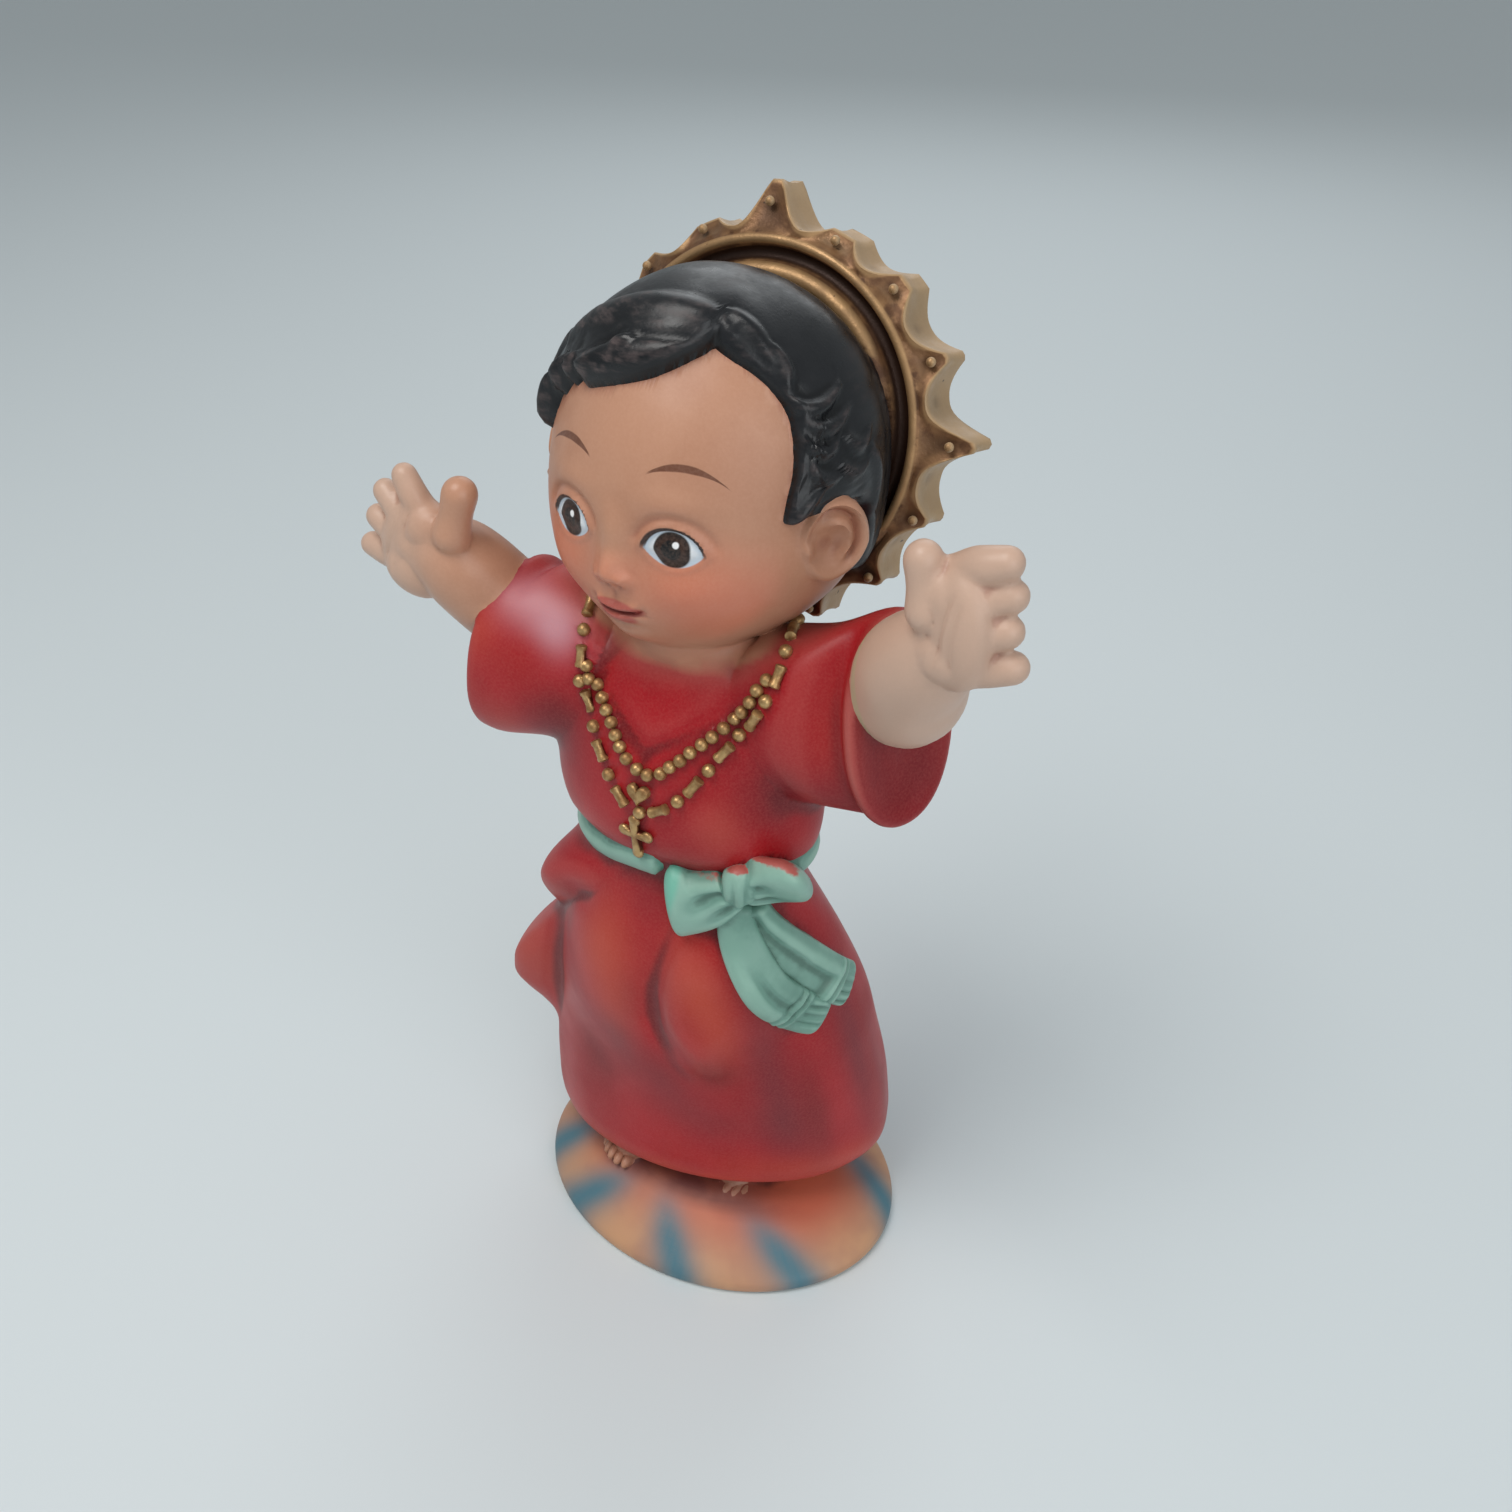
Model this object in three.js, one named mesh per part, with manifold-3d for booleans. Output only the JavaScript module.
// A small painted figurine of a standing child in a belted robe, its arms held out, with a rayed halo
// behind the head and an oval base, cast in one piece. Every form is a closed surface, and all are joined
// into one solid. Millimetres, +Z up, the figure faces -Y, and its left hand is on the +X side.

import * as THREE from 'three';
import { ParametricGeometry } from 'three/addons/geometries/ParametricGeometry.js';
import { mergeVertices } from 'three/addons/utils/BufferGeometryUtils.js';
import Module from 'manifold-3d';

// Driving dimensions: the base and the robe

const BASE = { halfWidth: 28.7, halfDepth: 22.6, y: 1, crownHeight: 11 };
const BASE_SLOPE = [
	{ reach: 0.94, z: 0 }, { reach: 0.985, z: 0.3 }, { reach: 1, z: 1.1 }, { reach: 0.985, z: 2.4 },
	{ reach: 0.9, z: 4.1 }, { reach: 0.76, z: 6.4 }, { reach: 0.6, z: 8.5 }, { reach: 0.4, z: 10.2 },
];

// Level cross-sections of the body from hem to neck: an oval at each height, turned by yaw degrees
const ROBE_LEVELS = [
	{ z: 13, halfWidth: 26.8, halfDepth: 17.8, x: - 2.2, y: 4.8, yaw: 8 },
	{ z: 17, halfWidth: 27.0, halfDepth: 18.0, x: - 2.1, y: 4.6, yaw: 8 },
	{ z: 26, halfWidth: 26.4, halfDepth: 17.6, x: - 1.8, y: 3.6, yaw: 7 },
	{ z: 38, halfWidth: 24.6, halfDepth: 16.6, x: - 1.2, y: 1.6, yaw: 5 },
	{ z: 47, halfWidth: 23.2, halfDepth: 15.6, x: - 1.0, y: 0.0, yaw: 4 },
	{ z: 58, halfWidth: 20.3, halfDepth: 13.4, x: - 0.6, y: - 2.5, yaw: 2 },
	{ z: 66, halfWidth: 17.0, halfDepth: 11.2, x: - 0.4, y: - 4.2, yaw: 0 },
	{ z: 70, halfWidth: 16.0, halfDepth: 10.0, x: - 0.4, y: - 4.8, yaw: 0 },
	{ z: 73.5, halfWidth: 15.8, halfDepth: 9.9, x: - 0.4, y: - 5.0, yaw: 0 },
	{ z: 77, halfWidth: 18.2, halfDepth: 11.6, x: - 0.6, y: - 5.2, yaw: 0 },
	{ z: 85, halfWidth: 18.8, halfDepth: 12.0, x: - 0.6, y: - 5.2, yaw: 0 },
	{ z: 93, halfWidth: 18.4, halfDepth: 11.2, x: - 0.5, y: - 4.8, yaw: 0 },
	{ z: 99, halfWidth: 15.6, halfDepth: 9.6, x: - 0.2, y: - 4.2, yaw: 0 },
	{ z: 103, halfWidth: 10.5, halfDepth: 7.8, x: 0, y: - 3.6, yaw: 0 },
	{ z: 105, halfWidth: 7.5, halfDepth: 6.6, x: 0, y: - 3.2, yaw: 0 },
];
const HEM = { slope: 1.7 / 25, levelAbove: 40, lip: 1.6, recess: 3.4, turnUp: 0.6, footZ: 8 };
const ROBE_GRID = { around: 42, up: 24 };

// Folds of the skirt: angles in degrees from the front to the figure's left, heights above the ground
const PUFF = {
	depth: 5, angle: - 62, spread: 36,
	edgeZ: 49, edgeAngle: - 80, edgeSlope: 0.33, edge: 3.6, fade: [ 58, 72 ],
};
const DRAPE = {
	depth: 8, edgeAngle: - 57, edgeZ: 54, edgeSlope: 0.376, edge: [ - 2, 16 ],
	backAngle: - 95, backSpread: 34, rise: [ 25, 34 ], fade: [ 36, 54 ],
};
const DROP = { depth: 2, angle: 24, halfAngle: 24, z: 54, halfHeight: 17.5, edge: [ 0.7, 1.1 ] };
const KNEE = { depth: 1.6, angle: - 26, spread: 22, z: 52, height: 14 };
const HOLLOW = { depth: - 1.2, angle: - 32, spread: 22, z: 30, height: 9 };
const PLEATS = { depth: 0.9, perTurn: 7, from: [ 95, 125 ], fade: [ 48, 66 ] };

// Driving dimensions: head, hair, ears and neck, in the head's own frame

const HEAD = {
	x: 0, y: - 1, z: 122, tiltBack: 8, turn: - 4,
	halfWidth: 18.5, halfDepth: 17.8, crown: 21.4, chin: 20.8, cheek: 0.07, jaw: 0.1,
};
const HAIR = { thickness: 1.7, fringe: 1.6, back: 1.8, lip: 0.8, buried: 2.2, rows: 11 };
// The hair's edge: latitude over longitude on the head, in degrees, longitude from the face to the left
const HAIRLINE = [
	{ lon: - 180, lat: - 38 }, { lon: - 130, lat: - 33 }, { lon: - 108, lat: - 18 },
	{ lon: - 96, lat: - 3 }, { lon: - 74, lat: 2 }, { lon: - 62, lat: 12 },
	{ lon: - 52, lat: 19 }, { lon: - 40, lat: 26 },
	{ lon: - 16, lat: 30 }, { lon: 5, lat: 37 }, { lon: 19, lat: 43 }, { lon: 30, lat: 49 },
	{ lon: 42, lat: 44 }, { lon: 52, lat: 38 }, { lon: 59, lat: 26 }, { lon: 60, lat: 8 },
	{ lon: 62, lat: 0 }, { lon: 78, lat: 1 }, { lon: 98, lat: - 3 }, { lon: 110, lat: - 20 },
	{ lon: 132, lat: - 34 }, { lon: 180, lat: - 38 },
];
const EAR = {
	lon: 85, lat: - 12, height: 10.4, width: 7.2, depth: 3.2,
	flare: 24, bowl: 1.3, lobe: 0.18, back: 1.4,
};
const NECK = { bottom: [ 0, - 3.6, 98 ], top: [ 0, - 3.2, 110 ], radius: 8.2 };

// Driving dimensions: the halo, in its own plane. front and back are distances from its centre, and
// seat is how far the back of the head and its hair reach into the plate.

const HALO = {
	x: - 0.5, y: 13.2, z: 123.4, leanBack: 13.5, front: 3, back: 4.2, seat: 2.4,
	rays: 16, pointsPerRay: 6, firstRay: - 4.3, sharpness: 2.4, tipSlope: 1.8,
	valley: 22.4, smallRay: 25, topRay: 27.3, sideRay: 27.8, bottomRay: 26,
};
// Turned rings on the front face: an inner band, a channel and a raised band, as radius and height
const HALO_RINGS = [
	{ radius: 17.2, height: 0.8 }, { radius: 18.4, height: - 1 },
	{ radius: 19.8, height: - 1 }, { radius: 20.8, height: 0.5 },
];

// Driving dimensions: sleeves, arms and hands

const SLEEVE = { wall: 1.5, dish: 2.4, rim: 0.4, shoulderDirection: [ 1, - 0.2, 0.1 ] };
const ARMS = {
	left: {
		side: 1,
		shoulder: [ 11, - 4, 95 ], shoulderSize: [ 10.5, 8.4 ],
		upper: [ 19, - 4.4, 96.5 ], upperSize: [ 11.6, 8.4 ],
		mouth: [ 27.2, - 5.2, 97.8 ], mouthSize: [ 14.2, 8.2 ], mouthNormal: [ 0.8, - 0.58, 0.12 ],
		elbow: [ 23.5, - 3.6, 101 ], cuff: [ 28.4, - 6.4, 105 ], wrist: [ 33.2, - 10.2, 112 ],
		armRadius: 7, wristRadius: 5.4,
		palm: [ 37, - 12, 117.6 ], palmSize: [ 4.8, 7.3, 3.2 ],
		fingers: [
			{ root: [ 38.7, - 12, 124.6 ], tip: [ 41.6, - 12.4, 126 ] },
			{ root: [ 39.2, - 12, 121.2 ], tip: [ 42.3, - 12.4, 123.6 ] },
			{ root: [ 39.8, - 12, 117.8 ], tip: [ 42.7, - 12.4, 120.4 ] },
			{ root: [ 40, - 12, 115 ], tip: [ 43, - 12.4, 117 ] },
		],
		thumb: { root: [ 33.4, - 12, 117 ], tip: [ 32.4, - 12, 123.6 ] },
	},
	right: {
		side: - 1,
		shoulder: [ - 11, - 6, 95 ], shoulderSize: [ 10.5, 8.4 ],
		upper: [ - 19, - 7.4, 95.6 ], upperSize: [ 11.6, 8.6 ],
		mouth: [ - 26.4, - 9, 96 ], mouthSize: [ 13.4, 8.2 ], mouthNormal: [ - 0.86, - 0.3, 0.4 ],
		elbow: [ - 21.6, - 8, 98 ], cuff: [ - 25.4, - 10.4, 102 ], wrist: [ - 29.4, - 12.8, 107.6 ],
		armRadius: 6.6, wristRadius: 5,
		palm: [ - 34.8, - 14, 109.8 ], palmSize: [ 4.6, 6.6, 3.1 ],
		fingers: [
			{ root: [ - 32.2, - 14, 114.8 ], tip: [ - 34.6, - 14, 118.2 ] },
			{ root: [ - 35.2, - 14, 113 ], tip: [ - 38.6, - 14, 115.4 ] },
			{ root: [ - 37.6, - 14, 110 ], tip: [ - 40.6, - 14, 111.2 ] },
			{ root: [ - 38.6, - 14, 107 ], tip: [ - 42, - 14, 106.8 ] },
		],
		thumb: { root: [ - 28.4, - 14, 111.4 ], tip: [ - 27.2, - 14, 118 ] },
	},
};
const FINGER = { radius: 1.8, thumbRadius: 2.1 };

// Driving dimensions: the sash, its bow and tails

const SASH = { z: 73, rise: 2, height: 3.8, proud: 1.2, buried: 3 };
const BOW = {
	knot: { angle: 43, z: 73.2, proud: 1.6, size: [ 2.7, 3.9, 2.4 ] },
	loops: [
		{ from: { angle: 40, z: 72.6 }, to: { angle: 8, z: 68.6 }, nearHeight: 2.9, farHeight: 6 },
		{ from: { angle: 46, z: 73.2 }, to: { angle: 88, z: 72.6 }, nearHeight: 2.9, farHeight: 6.4 },
	],
	loopThickness: 2.6,
	tails: [
		[ { angle: 40, z: 69 }, { angle: 38, z: 60 }, { angle: 48, z: 52.4 }, { angle: 67, z: 48.6 } ],
		[ { angle: 47, z: 69 }, { angle: 60, z: 62.8 }, { angle: 75, z: 56.2 }, { angle: 88, z: 50.8 } ],
	],
	tailHalfWidth: 3.1, tailThickness: 1.7,
};
const FOOT = { size: [ 5.2, 6, 2.2 ], z: 8.4, places: [ { x: - 10.4, y: - 8.4 }, { x: 8.2, y: - 7.6 } ] };

// Turning a closed surface into a solid

const wasm = await Module();
wasm.setup();

// A surface given by pointAt(around, along), closed around and drawn to a point at each end
function solid( pointAt, around, along ) {

	const place = ( u, v, target ) => target.copy( pointAt( ( u % 1 ) * Math.PI * 2, v ) );
	return solidOf( new ParametricGeometry( place, around, along ) );

}

// A solid from any closed three.js geometry: its vertices merged, its faces pointing out
function solidOf( geometry ) {

	geometry.deleteAttribute( 'normal' );
	geometry.deleteAttribute( 'uv' );
	const merged = mergeVertices( geometry, 1e-4 );
	const corners = merged.index.array;
	const triangles = [];
	for ( let i = 0; i < corners.length; i += 3 ) {

		const [ a, b, c ] = [ corners[ i ], corners[ i + 1 ], corners[ i + 2 ] ];
		if ( a !== b && b !== c && c !== a ) triangles.push( a, b, c );

	}

	const vertProperties = merged.attributes.position.array;
	const corner = ( index ) => new THREE.Vector3().fromArray( vertProperties, 3 * index );
	let volume = 0;
	for ( let i = 0; i < triangles.length; i += 3 ) {

		const side = corner( triangles[ i + 1 ] ).cross( corner( triangles[ i + 2 ] ) );
		volume += corner( triangles[ i ] ).dot( side );

	}

	if ( volume < 0 ) triangles.reverse();
	const triVerts = Uint32Array.from( triangles );
	return new wasm.Manifold( new wasm.Mesh( { numProp: 3, vertProperties, triVerts } ) );

}

const vector = ( list ) => new THREE.Vector3( ...list );
const radians = THREE.MathUtils.degToRad;
const ramp = ( x, low, high ) => THREE.MathUtils.smoothstep( x, low, high );
const bell = ( x, width ) => Math.exp( - ( ( x / width ) ** 2 ) );

// A smooth value through rows of numbers, each row giving field at key
function through( rows, key, field, at ) {

	const last = rows.length - 1;
	const x = THREE.MathUtils.clamp( at, rows[ 0 ][ key ], rows[ last ][ key ] );
	let i = 0;
	while ( i < last - 1 && x > rows[ i + 1 ][ key ] ) i ++;
	const slope = ( k ) => {

		const before = rows[ Math.max( k - 1, 0 ) ];
		const after = rows[ Math.min( k + 1, last ) ];
		return ( after[ field ] - before[ field ] ) / ( after[ key ] - before[ key ] );

	};

	const step = rows[ i + 1 ][ key ] - rows[ i ][ key ];
	const t = ( x - rows[ i ][ key ] ) / step;
	const ease = 3 * t ** 2 - 2 * t ** 3;
	const value = THREE.MathUtils.lerp( rows[ i ][ field ], rows[ i + 1 ][ field ], ease );
	const leaving = slope( i ) * step * ( t ** 3 - 2 * t ** 2 + t );
	const arriving = slope( i + 1 ) * step * ( t ** 3 - t ** 2 );
	return value + leaving + arriving;

}

// The robe

// How far the cloth stands off its plain oval, by angle in degrees from the front to the left, and height
function folds( angle, z ) {

	const puffEdge = PUFF.edgeZ + PUFF.edgeSlope * ( angle - PUFF.edgeAngle );
	const puffReach = ramp( z, puffEdge, puffEdge + PUFF.edge ) * ( 1 - ramp( z, ...PUFF.fade ) );
	const puff = PUFF.depth * bell( angle - PUFF.angle, PUFF.spread ) * puffReach;
	const drapeEdge = DRAPE.edgeAngle - DRAPE.edgeSlope * ( DRAPE.edgeZ - z );
	const drapeBack = angle < DRAPE.backAngle ? bell( angle - DRAPE.backAngle, DRAPE.backSpread ) : 1;
	const drapeHeight = ramp( z, ...DRAPE.rise ) * ( 1 - ramp( z, ...DRAPE.fade ) );
	const drape = DRAPE.depth * drapeBack * drapeHeight * ramp( drapeEdge - angle, ...DRAPE.edge );
	const dropReach = Math.hypot( ( angle - DROP.angle ) / DROP.halfAngle, ( z - DROP.z ) / DROP.halfHeight );
	const drop = DROP.depth * ( 1 - ramp( dropReach, ...DROP.edge ) );
	const mound = ( form ) => {

		const around = bell( angle - form.angle, form.spread );
		return form.depth * around * bell( z - form.z, form.height );

	};

	const pleatReach = ramp( Math.abs( angle ), ...PLEATS.from ) * ( 1 - ramp( z, ...PLEATS.fade ) );
	const pleats = PLEATS.depth * pleatReach * Math.cos( radians( PLEATS.perTurn * angle ) );
	return Math.max( puff, drape ) + drop + mound( KNEE ) + mound( HOLLOW ) + pleats;

}

// A point of the robe, by angle in radians from the front to the left, and height
function robePoint( angle, z, proud = 0 ) {

	const at = ( field ) => through( ROBE_LEVELS, 'z', field, z );
	const [ across, ahead ] = [ Math.sin( angle ), - Math.cos( angle ) ];
	const outward = new THREE.Vector3( across / at( 'halfWidth' ), ahead / at( 'halfDepth' ), 0 );
	const degrees = THREE.MathUtils.radToDeg( Math.atan2( across, - ahead ) );
	const point = new THREE.Vector3( at( 'halfWidth' ) * across, at( 'halfDepth' ) * ahead, z );
	point.addScaledVector( outward.normalize(), folds( degrees, z ) + proud );
	point.applyAxisAngle( new THREE.Vector3( 0, 0, 1 ), radians( at( 'yaw' ) ) );
	return point.add( new THREE.Vector3( at( 'x' ), at( 'y' ), 0 ) );

}

function robe() {

	const hem = ROBE_LEVELS[ 0 ];
	const neckHole = ROBE_LEVELS[ ROBE_LEVELS.length - 1 ];
	const last = ROBE_GRID.up;
	return solid( ( angle, v ) => {

		const row = Math.round( v * last );
		if ( row === 0 ) return new THREE.Vector3( hem.x, hem.y, HEM.footZ );
		if ( row === last ) return new THREE.Vector3( neckHole.x, neckHole.y, neckHole.z + 1 );
		const z = hem.z + ( neckHole.z - hem.z ) * Math.max( 0, row - 3 ) / ( last - 4 );
		const point = robePoint( angle, z );
		point.z += HEM.slope * point.x * ( 1 - ramp( z, hem.z, HEM.levelAbove ) );
		if ( row > 2 ) return point;
		// under the hem the cloth turns in, then drops to the base
		if ( row === 2 ) return robePoint( angle, hem.z, - HEM.lip ).setZ( point.z - HEM.turnUp );
		return robePoint( angle, hem.z, - HEM.lip - HEM.recess ).setZ( HEM.footZ );

	}, ROBE_GRID.around, last );

}

// The base and the feet

function base() {

	const last = BASE_SLOPE.length + 1;
	return solid( ( angle, v ) => {

		const row = Math.round( v * last );
		if ( row === 0 ) return new THREE.Vector3( 0, BASE.y, 0 );
		if ( row === last ) return new THREE.Vector3( 0, BASE.y, BASE.crownHeight );
		const { reach, z } = BASE_SLOPE[ row - 1 ];
		const depth = BASE.halfDepth * reach * Math.sin( angle );
		return new THREE.Vector3( BASE.halfWidth * reach * Math.cos( angle ), BASE.y + depth, z );

	}, 36, last );

}

function ball( centre, size, around, up ) {

	const sphere = new THREE.SphereGeometry( 1, around, up );
	sphere.scale( ...size );
	sphere.translate( ...centre.toArray() );
	return solidOf( sphere );

}

// The fronts of the feet, low on the base under the hem
function feet() {

	return FOOT.places.map( ( { x, y } ) => ball( new THREE.Vector3( x, y, FOOT.z ), FOOT.size, 12, 6 ) );

}

// The head, its hair and ears

// Places a point of the head's own frame: leaned back, turned, then moved up onto the neck
function onHead( point ) {

	point.applyAxisAngle( new THREE.Vector3( 1, 0, 0 ), - radians( HEAD.tiltBack ) );
	point.applyAxisAngle( new THREE.Vector3( 0, 0, 1 ), radians( HEAD.turn ) );
	return point.add( new THREE.Vector3( HEAD.x, HEAD.y, HEAD.z ) );

}

// A point of the head by longitude from the face to the left and latitude, in radians, raised by proud
function headPoint( lon, lat, proud = 0 ) {

	const across = Math.cos( lat );
	const cheek = 1 + HEAD.cheek * bell( lat + 0.42, 0.3 );
	const jaw = 1 - HEAD.jaw * ramp( - lat, 0.7, 1.4 );
	const x = HEAD.halfWidth * cheek * jaw * across * Math.sin( lon );
	const y = - HEAD.halfDepth * across * Math.cos( lon );
	const z = ( lat > 0 ? HEAD.crown : HEAD.chin ) * Math.sin( lat );
	const point = new THREE.Vector3( x, y, z );
	return point.addScaledVector( point.clone().normalize(), proud );

}

// Presses the back of the head flat inside the halo's plate, so that none of it shows behind the halo
function seated( point ) {

	const lean = radians( HALO.leanBack );
	const backwards = new THREE.Vector3( 0, Math.cos( lean ), - Math.sin( lean ) );
	const depth = point.clone().sub( new THREE.Vector3( HALO.x, HALO.y, HALO.z ) ).dot( backwards );
	return point.addScaledVector( backwards, Math.min( 0, HALO.seat - depth ) );

}

// A plain face: nose, bridge, eye hollows, lips and chin as soft mounds, by how far each stands out
function face( lon, lat ) {

	const nose = 2.3 * bell( lon, 0.13 ) * bell( lat + 0.34, 0.15 );
	const bridge = 0.5 * bell( lon, 0.16 ) * bell( lat + 0.1, 0.2 );
	const sockets = - 0.7 * bell( Math.abs( lon ) - 0.42, 0.2 ) * bell( lat + 0.07, 0.17 );
	const lips = 0.8 * bell( lon, 0.22 ) * bell( lat + 0.62, 0.09 );
	const chin = 1.0 * bell( lon, 0.24 ) * bell( lat + 0.92, 0.16 );
	return nose + bridge + sockets + lips + chin;

}

function head() {

	return solid( ( lon, v ) => {

		const lat = Math.PI * ( v - 0.5 );
		const turned = Math.atan2( Math.sin( lon ), Math.cos( lon ) );
		return seated( onHead( headPoint( lon, lat, face( turned, lat ) ) ) );

	}, 26, 16 );

}

// The hair is a cap: crown, surface, rounded edge, and a buried floor inside the head
function hair() {

	const rows = HAIR.rows;
	return solid( ( lon, v ) => {

		const row = Math.round( v * rows );
		const degrees = THREE.MathUtils.radToDeg( Math.atan2( Math.sin( lon ), Math.cos( lon ) ) );
		const edge = radians( through( HAIRLINE, 'lon', 'lat', degrees ) );
		const forward = ramp( Math.cos( lon ), 0.35, 0.85 );
		const backward = ramp( - Math.cos( lon ), - 0.3, 0.4 );
		if ( row === 0 ) return onHead( new THREE.Vector3( 0, 0, HEAD.crown + HAIR.thickness ) );
		if ( row <= rows - 4 ) {

			const lat = THREE.MathUtils.lerp( Math.PI / 2, edge + 0.05, row / ( rows - 4 ) );
			const fringe = HAIR.fringe * forward * bell( lat - edge - 0.2, 0.3 );
			const fullness = HAIR.back * backward * bell( lat - 0.6, 0.5 );
			return seated( onHead( headPoint( lon, lat, HAIR.thickness + fringe + fullness ) ) );

		}

		const lip = HAIR.lip + 0.5 * HAIR.fringe * forward;
		if ( row === rows - 3 ) return onHead( headPoint( lon, edge, lip ) );
		if ( row === rows - 2 ) return onHead( headPoint( lon, edge, - HAIR.buried ) );
		if ( row === rows - 1 ) return onHead( headPoint( lon, edge + 0.5, - HAIR.buried * 2 ) );
		return onHead( new THREE.Vector3( 0, 0, 4 ) );

	}, 36, rows );

}

// A shell with a raised rim and a shallow bowl, flared away from the head
function ear( side ) {

	const hub = headPoint( side * radians( EAR.lon ), radians( EAR.lat ), - 0.4 );
	return solid( ( angle, v ) => {

		const reach = Math.sin( Math.PI * v );
		const front = v > 0.5;
		const dish = front ? 1 - EAR.bowl * ( 1 - ramp( reach, 0.35, 0.85 ) ) : 1;
		const lobe = 1 - EAR.lobe * Math.max( 0, - Math.sin( angle ) );
		const flat = new THREE.Vector3(
			( front ? 1 : - 1 ) * EAR.depth / 2 * Math.abs( Math.cos( Math.PI * v ) ) * dish,
			EAR.width / 2 * reach * lobe * Math.cos( angle ),
			EAR.height / 2 * reach * Math.sin( angle ),
		);
		flat.applyAxisAngle( new THREE.Vector3( 0, 0, 1 ), - radians( EAR.flare ) );
		flat.x *= side;
		return onHead( flat.add( hub ).add( new THREE.Vector3( side * 0.8, EAR.back, 0 ) ) );

	}, 12, 8 );

}

// A smooth limb through a list of [ point, radius ], rounded at both ends
function limb( stations, around, steps ) {

	const path = new THREE.CatmullRomCurve3( stations.map( ( station ) => vector( station[ 0 ] ) ) );
	const lastIndex = stations.length - 1;
	const rows = stations.map( ( station, index ) => ( { t: index / lastIndex, radius: station[ 1 ] } ) );
	return solid( ( angle, v ) => {

		const centre = path.getPoint( v );
		const along = path.getTangent( v );
		const side = new THREE.Vector3().crossVectors( along, new THREE.Vector3( 0, 1, 0.2 ) ).normalize();
		const up = new THREE.Vector3().crossVectors( side, along );
		const roundedEnds = Math.sqrt( Math.max( 0, 1 - Math.abs( 2 * v - 1 ) ** 8 ) );
		const radius = through( rows, 't', 'radius', v ) * roundedEnds;
		centre.addScaledVector( side, radius * Math.cos( angle ) );
		return centre.addScaledVector( up, radius * Math.sin( angle ) );

	}, around, steps );

}

function neck() {

	return limb( [ [ NECK.bottom, NECK.radius + 1 ], [ NECK.top, NECK.radius ] ], 14, 5 );

}

// The halo

// The outline by angle from the top: its radius, and how far out along a ray it is, with concave sides
function haloEdge( angle ) {

	const pitch = 360 / HALO.rays;
	const turned = THREE.MathUtils.radToDeg( angle );
	const ray = Math.round( turned / pitch ) % HALO.rays;
	const quarter = ray / ( HALO.rays / 4 );
	const tips = [ HALO.topRay, HALO.sideRay, HALO.bottomRay, HALO.sideRay ];
	const tip = Number.isInteger( quarter ) ? tips[ quarter ] : HALO.smallRay;
	const offset = Math.abs( turned / pitch - Math.round( turned / pitch ) ) * 2;
	const out = ( 1 - Math.min( 1, offset ) ) ** HALO.sharpness;
	return { radius: HALO.valley + ( tip - HALO.valley ) * out, out };

}

function halo() {

	const last = HALO_RINGS.length + 3;
	return solid( ( angle, v ) => {

		const row = Math.round( v * last );
		const { radius, out } = haloEdge( angle );
		let section = { radius: 0, depth: row === 0 ? - HALO.front : HALO.back };
		if ( row > 0 && row <= HALO_RINGS.length ) {

			const ring = HALO_RINGS[ row - 1 ];
			section = { radius: ring.radius, depth: - HALO.front - ring.height };

		}

		if ( row === last - 2 ) section = { radius, depth: - HALO.front + HALO.tipSlope * out };
		if ( row === last - 1 ) section = { radius, depth: HALO.back };
		const across = section.radius * Math.sin( angle );
		const point = new THREE.Vector3( across, section.depth, section.radius * Math.cos( angle ) );
		point.applyAxisAngle( new THREE.Vector3( 0, 1, 0 ), radians( HALO.firstRay ) );
		point.applyAxisAngle( new THREE.Vector3( 1, 0, 0 ), - radians( HALO.leanBack ) );
		return point.add( new THREE.Vector3( HALO.x, HALO.y, HALO.z ) );

	}, HALO.rays * HALO.pointsPerRay, last );

}

// Sleeves, arms and hands

// An oval ring square to normal: height along the way up, width across it
function oval( centre, normal, size, angle ) {

	const ahead = vector( normal ).normalize();
	const across = new THREE.Vector3().crossVectors( new THREE.Vector3( 0, 0, 1 ), ahead ).normalize();
	const up = new THREE.Vector3().crossVectors( ahead, across );
	const point = vector( centre );
	point.addScaledVector( up, size[ 0 ] * Math.sin( angle ) );
	return point.addScaledVector( across, size[ 1 ] * Math.cos( angle ) );

}

function sleeve( arm ) {

	const [ across, ...rest ] = SLEEVE.shoulderDirection;
	const outward = [ arm.side * across, ...rest ];
	const ahead = vector( arm.mouthNormal ).normalize();
	const mouth = ( angle, shrink, sink ) => {

		const size = arm.mouthSize.map( ( length ) => length - shrink );
		return oval( arm.mouth, arm.mouthNormal, size, angle ).addScaledVector( ahead, - sink );

	};

	const rings = [
		( angle ) => oval( arm.shoulder, outward, [ 0.1, 0.1 ], angle ),
		( angle ) => oval( arm.shoulder, outward, arm.shoulderSize, angle ),
		( angle ) => oval( arm.upper, outward, arm.upperSize, angle ),
		( angle ) => mouth( angle, SLEEVE.rim, 3.4 ),
		( angle ) => mouth( angle, 0, 1.2 ),
		( angle ) => mouth( angle, SLEEVE.rim, 0.2 ),
		( angle ) => mouth( angle, SLEEVE.wall, 0.2 ),
		( angle ) => mouth( angle, SLEEVE.wall + 2, SLEEVE.dish ),
	];
	const last = rings.length;
	return solid( ( angle, v ) => {

		const row = Math.round( v * last );
		if ( row === 0 ) return vector( arm.shoulder );
		if ( row === last ) return vector( arm.mouth ).addScaledVector( ahead, - SLEEVE.dish );
		return rings[ row ]( angle );

	}, 20, last );

}

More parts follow.
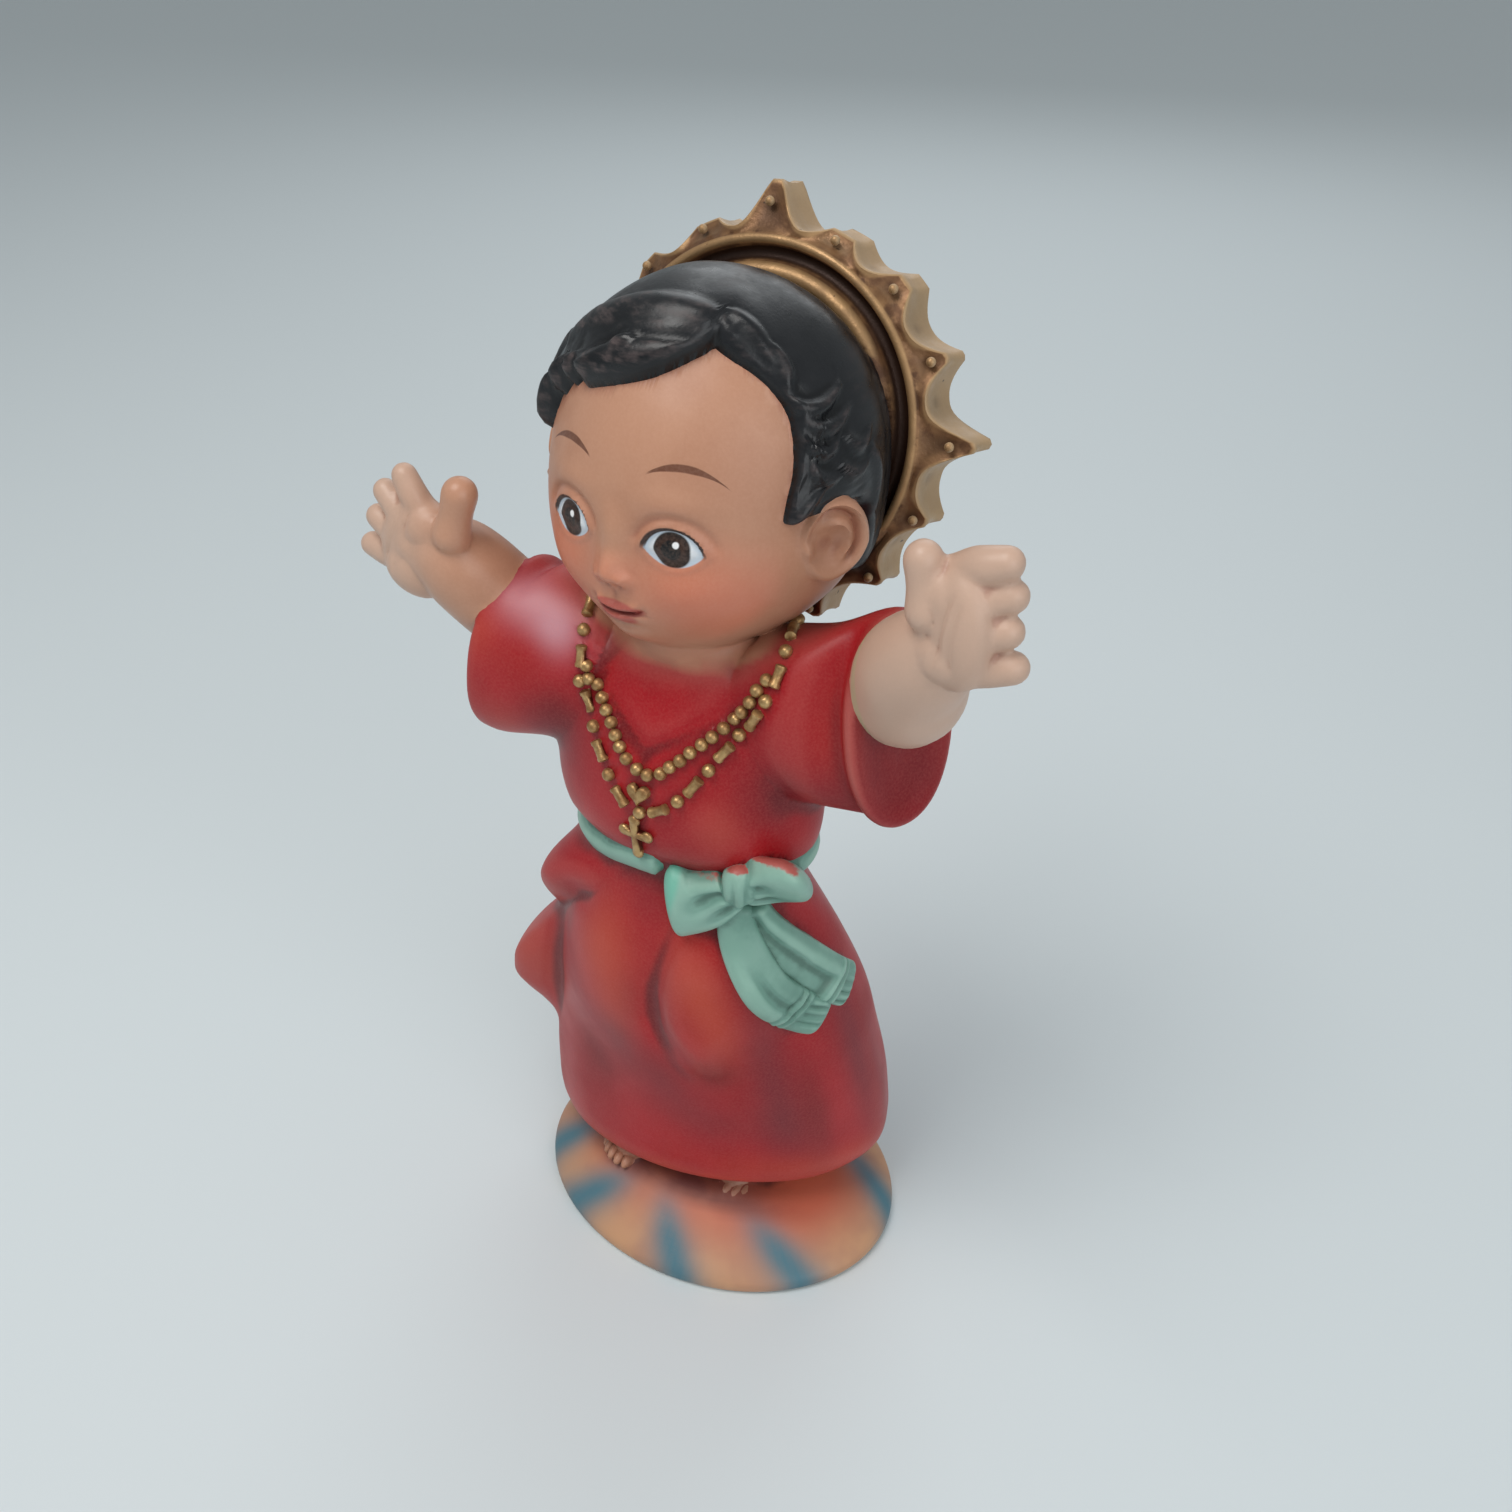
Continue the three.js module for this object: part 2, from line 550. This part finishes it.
// A rounded finger from its root to its tip
function finger( { root, tip }, radius ) {

	const along = vector( tip ).sub( vector( root ) );
	const capsule = new THREE.CapsuleGeometry( radius, along.length(), 2, 6 );
	const upright = new THREE.Vector3( 0, 1, 0 );
	const turn = new THREE.Quaternion().setFromUnitVectors( upright, along.clone().normalize() );
	capsule.applyQuaternion( turn );
	const middle = vector( root ).addScaledVector( along, 0.5 );
	capsule.translate( ...middle.toArray() );
	return solidOf( capsule );

}

// The palm is an ellipsoid set by the wrist and by the line of the finger roots
function hand( arm ) {

	const [ index, , , little ] = arm.fingers;
	const ahead = vector( arm.palm ).sub( vector( arm.wrist ) );
	const thumbward = vector( index.root ).sub( vector( little.root ) ).normalize();
	ahead.projectOnPlane( thumbward ).normalize();
	const palmNormal = new THREE.Vector3().crossVectors( ahead, thumbward );
	const palm = new THREE.SphereGeometry( 1, 10, 7 );
	palm.scale( ...arm.palmSize );
	const placed = new THREE.Matrix4().makeBasis( ahead, thumbward, palmNormal );
	palm.applyMatrix4( placed.setPosition( vector( arm.palm ) ) );
	const fingers = arm.fingers.map( ( ends ) => finger( ends, FINGER.radius ) );
	return [ solidOf( palm ), ...fingers, finger( arm.thumb, FINGER.thumbRadius ) ];

}

function forearm( arm ) {

	const middle = ( arm.armRadius + arm.wristRadius ) / 2;
	const stations = [
		[ arm.elbow, arm.armRadius ], [ arm.cuff, arm.armRadius ],
		[ arm.wrist, middle ], [ arm.palm, arm.wristRadius - 2 ],
	];
	return limb( stations, 11, 7 );

}

// The sash, its bow and its tails, all laid on the robe

const onRobe = ( { angle, z }, proud = 0 ) => robePoint( radians( angle ), z, proud );

// A band around the waist that rises towards the figure's left
function sash() {

	const half = SASH.height / 2;
	const section = [
		[ - SASH.buried, - half ], [ SASH.proud * 0.6, - half ], [ SASH.proud, - half * 0.5 ],
		[ SASH.proud, half * 0.5 ], [ SASH.proud * 0.6, half ], [ - SASH.buried, half ],
	];
	const waist = ROBE_LEVELS.find( ( level ) => level.z > SASH.z );
	const last = section.length + 1;
	return solid( ( angle, v ) => {

		const row = Math.round( v * last );
		if ( row === 0 ) return new THREE.Vector3( waist.x, waist.y, SASH.z - half );
		if ( row === last ) return new THREE.Vector3( waist.x, waist.y, SASH.z + half );
		const [ proud, up ] = section[ row - 1 ];
		const z = SASH.z + SASH.rise * Math.sin( angle );
		return robePoint( angle, z, proud ).setZ( z + up );

	}, 28, last );

}

// A ribbon laid on the robe along stations of { angle, z }, with half width and thickness at each end
function ribbon( stations, halfWidths, thickness, steps ) {

	const lastIndex = stations.length - 1;
	const rows = stations.map( ( station, index ) => ( { t: index / lastIndex, ...station } ) );
	const at = ( t ) => ( { angle: through( rows, 't', 'angle', t ), z: through( rows, 't', 'z', t ) } );
	return solid( ( angle, v ) => {

		const centre = onRobe( at( v ), thickness * 0.3 );
		const next = onRobe( at( Math.min( 1, v + 0.05 ) ) );
		const ahead = next.sub( onRobe( at( Math.max( 0, v - 0.05 ) ) ) ).normalize();
		const outward = onRobe( at( v ), 1 ).sub( onRobe( at( v ) ) ).normalize();
		const across = new THREE.Vector3().crossVectors( ahead, outward ).normalize();
		const round = Math.min( 1, 6 * v, 6 * ( 1 - v ) ) ** 0.5;
		const halfWidth = THREE.MathUtils.lerp( halfWidths[ 0 ], halfWidths[ 1 ], v ) * round;
		centre.addScaledVector( across, halfWidth * Math.cos( angle ) );
		return centre.addScaledVector( outward, thickness * round * Math.sin( angle ) );

	}, 8, steps );

}

function bow() {

	const knotCentre = onRobe( BOW.knot, BOW.knot.proud );
	const parts = [ ball( knotCentre, BOW.knot.size, 10, 6 ) ];
	for ( const loop of BOW.loops ) {

		const heights = [ loop.nearHeight, loop.farHeight ];
		parts.push( ribbon( [ loop.from, loop.to ], heights, BOW.loopThickness, 6 ) );

	}

	for ( const tail of BOW.tails ) {

		parts.push( ribbon( tail, [ BOW.tailHalfWidth * 0.7, BOW.tailHalfWidth ], BOW.tailThickness, 9 ) );

	}

	return parts;

}

// Joining the forms into the one casting

const forms = [
	base(), ...feet(), robe(), neck(), head(), hair(), ear( 1 ), ear( - 1 ), halo(), sash(), ...bow(),
	...Object.values( ARMS ).flatMap( ( arm ) => [ sleeve( arm ), forearm( arm ), ...hand( arm ) ] ),
];

const casting = forms.reduce( ( whole, form ) => whole.add( form ) );
const { vertProperties, triVerts } = casting.getMesh();
const castGeometry = new THREE.BufferGeometry();
const positions = Float32Array.from( vertProperties );
castGeometry.setAttribute( 'position', new THREE.BufferAttribute( positions, 3 ) );
castGeometry.setIndex( new THREE.BufferAttribute( Uint32Array.from( triVerts ), 1 ) );
castGeometry.computeVertexNormals();

const paintedResin = new THREE.MeshStandardMaterial( { color: 0xa5343a, roughness: 0.5, metalness: 0 } );
const castFigure = new THREE.Mesh( castGeometry, paintedResin );
castFigure.name = 'cast_figure';

const figurine = new THREE.Group();
figurine.name = 'figurine';
figurine.add( castFigure );

export default figurine;
